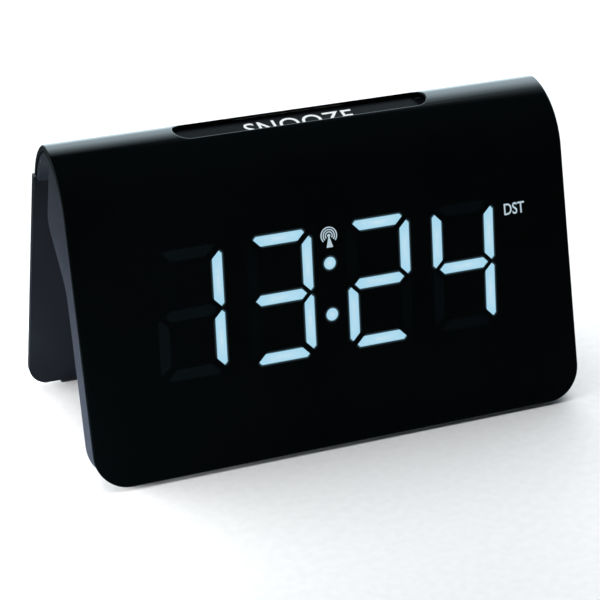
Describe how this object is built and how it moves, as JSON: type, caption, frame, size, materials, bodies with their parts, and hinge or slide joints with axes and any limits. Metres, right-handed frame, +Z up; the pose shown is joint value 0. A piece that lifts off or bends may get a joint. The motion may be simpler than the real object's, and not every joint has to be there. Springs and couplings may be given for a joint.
{
  "type": "radio-controlled LED alarm clock",
  "caption": "Tent-shaped desk alarm clock: a glossy black front folds over a crown with a snooze bar and stands on a rear leg; large segment digits and keys under the fold.",
  "frame": {"origin": "on the ground under the middle of the footprint", "axes": "+X across the clock to the right as seen from the front, +Y from the display towards the rear leg, +Z up"},
  "size_m": [0.173, 0.0816, 0.1024],
  "materials": {
    "gloss_cover": "polished smoke-black acrylic",
    "shell": "satin moulded",
    "leg": "satin moulded",
    "rubber": "moulded",
    "screw_steel": "zinc plated",
    "snooze_plastic": "satin moulded",
    "key_plastic": "satin moulded",
    "black_plastic": "moulded",
    "circuit_board": "solder resist over laminate",
    "cell_steel": "nickel plated",
    "diffuser_plastic": "milky translucent",
    "white_plastic": "moulded",
    "ribbon_plastic": "flexible flat cable",
    "ferrite": "sintered",
    "copper": "enamelled wire"
  },
  "bodies": {
    "base": {"front_cover": "gloss_cover", "housing": "shell", "rear_cover": "shell", "rear_leg": "leg", "foot_front_left": "rubber", "foot_rear_left": "rubber", "foot_front_right": "rubber", "foot_rear_right": "rubber", "screw_shelf_left": "screw_steel", "screw_lower_left": "screw_steel", "screw_shelf_right": "screw_steel", "screw_lower_right": "screw_steel", "screw_leg_1": "screw_steel", "screw_leg_2": "screw_steel", "screw_leg_3": "screw_steel", "screw_leg_4": "screw_steel", "clock_crystal": "screw_steel", "capacitor": "screw_steel", "alarm_switch_body": "screw_steel", "switch_time": "black_plastic", "switch_alarm": "black_plastic", "switch_plus": "black_plastic", "switch_minus": "black_plastic", "switch_wave": "black_plastic", "switch_dimmer": "black_plastic", "snooze_switch_left": "black_plastic", "snooze_switch_right": "black_plastic", "dc_jack": "black_plastic", "cell_holder": "black_plastic", "controller_chip": "black_plastic", "buzzer": "black_plastic", "snooze_board": "circuit_board", "key_board": "circuit_board", "led_board": "circuit_board", "main_board": "circuit_board", "radio_board": "circuit_board", "coin_cell": "cell_steel", "display_diffuser": "diffuser_plastic", "display_reflector": "white_plastic", "antenna_holder_left": "white_plastic", "antenna_holder_right": "white_plastic", "ribbon": "ribbon_plastic", "antenna_rod": "ferrite", "antenna_coil": "copper"},
    "snooze": {"snooze_bar": "snooze_plastic"},
    "alarm_knob": {"alarm_switch_knob": "key_plastic"},
    "cap": {"battery_cap": "key_plastic"},
    "key_time_body": {"key_time": "key_plastic"},
    "key_alarm_body": {"key_alarm": "key_plastic"},
    "key_plus_body": {"key_plus": "key_plastic"},
    "key_minus_body": {"key_minus": "key_plastic"},
    "key_wave_body": {"key_wave": "key_plastic"},
    "key_dimmer_body": {"key_dimmer": "key_plastic"}
  },
  "joints": [
    {"name": "snooze_press", "type": "slide", "parent": "base", "child": "snooze", "axis": [0, 0, -1], "range_m": [0, 0.0012], "stiffness_N_per_m": 1500, "springref_m": -0.0005},
    {"name": "time_press", "type": "slide", "parent": "base", "child": "key_time_body", "axis": [0, -0.6626, 0.749], "range_m": [0, 0.0007], "stiffness_N_per_m": 1500, "springref_m": -0.0005},
    {"name": "alarm_press", "type": "slide", "parent": "base", "child": "key_alarm_body", "axis": [0, -0.6626, 0.749], "range_m": [0, 0.0007], "stiffness_N_per_m": 1500, "springref_m": -0.0005},
    {"name": "plus_press", "type": "slide", "parent": "base", "child": "key_plus_body", "axis": [0, -0.6626, 0.749], "range_m": [0, 0.0007], "stiffness_N_per_m": 1500, "springref_m": -0.0005},
    {"name": "minus_press", "type": "slide", "parent": "base", "child": "key_minus_body", "axis": [0, -0.6626, 0.749], "range_m": [0, 0.0007], "stiffness_N_per_m": 1500, "springref_m": -0.0005},
    {"name": "wave_press", "type": "slide", "parent": "base", "child": "key_wave_body", "axis": [0, -0.6626, 0.749], "range_m": [0, 0.0007], "stiffness_N_per_m": 1500, "springref_m": -0.0005},
    {"name": "dimmer_press", "type": "slide", "parent": "base", "child": "key_dimmer_body", "axis": [0, -0.6626, 0.749], "range_m": [0, 0.0007], "stiffness_N_per_m": 1500, "springref_m": -0.0005},
    {"name": "alarm_slide", "type": "slide", "parent": "base", "child": "alarm_knob", "axis": [1, 0, 0], "range_m": [0, 0.003]},
    {"name": "cap_turn", "type": "hinge", "parent": "base", "child": "cap", "pos_m": [0.045, -0.02643, 0.01389], "axis": [0, 0.965, -0.2622], "range_deg": [0, 60]}
  ]
}
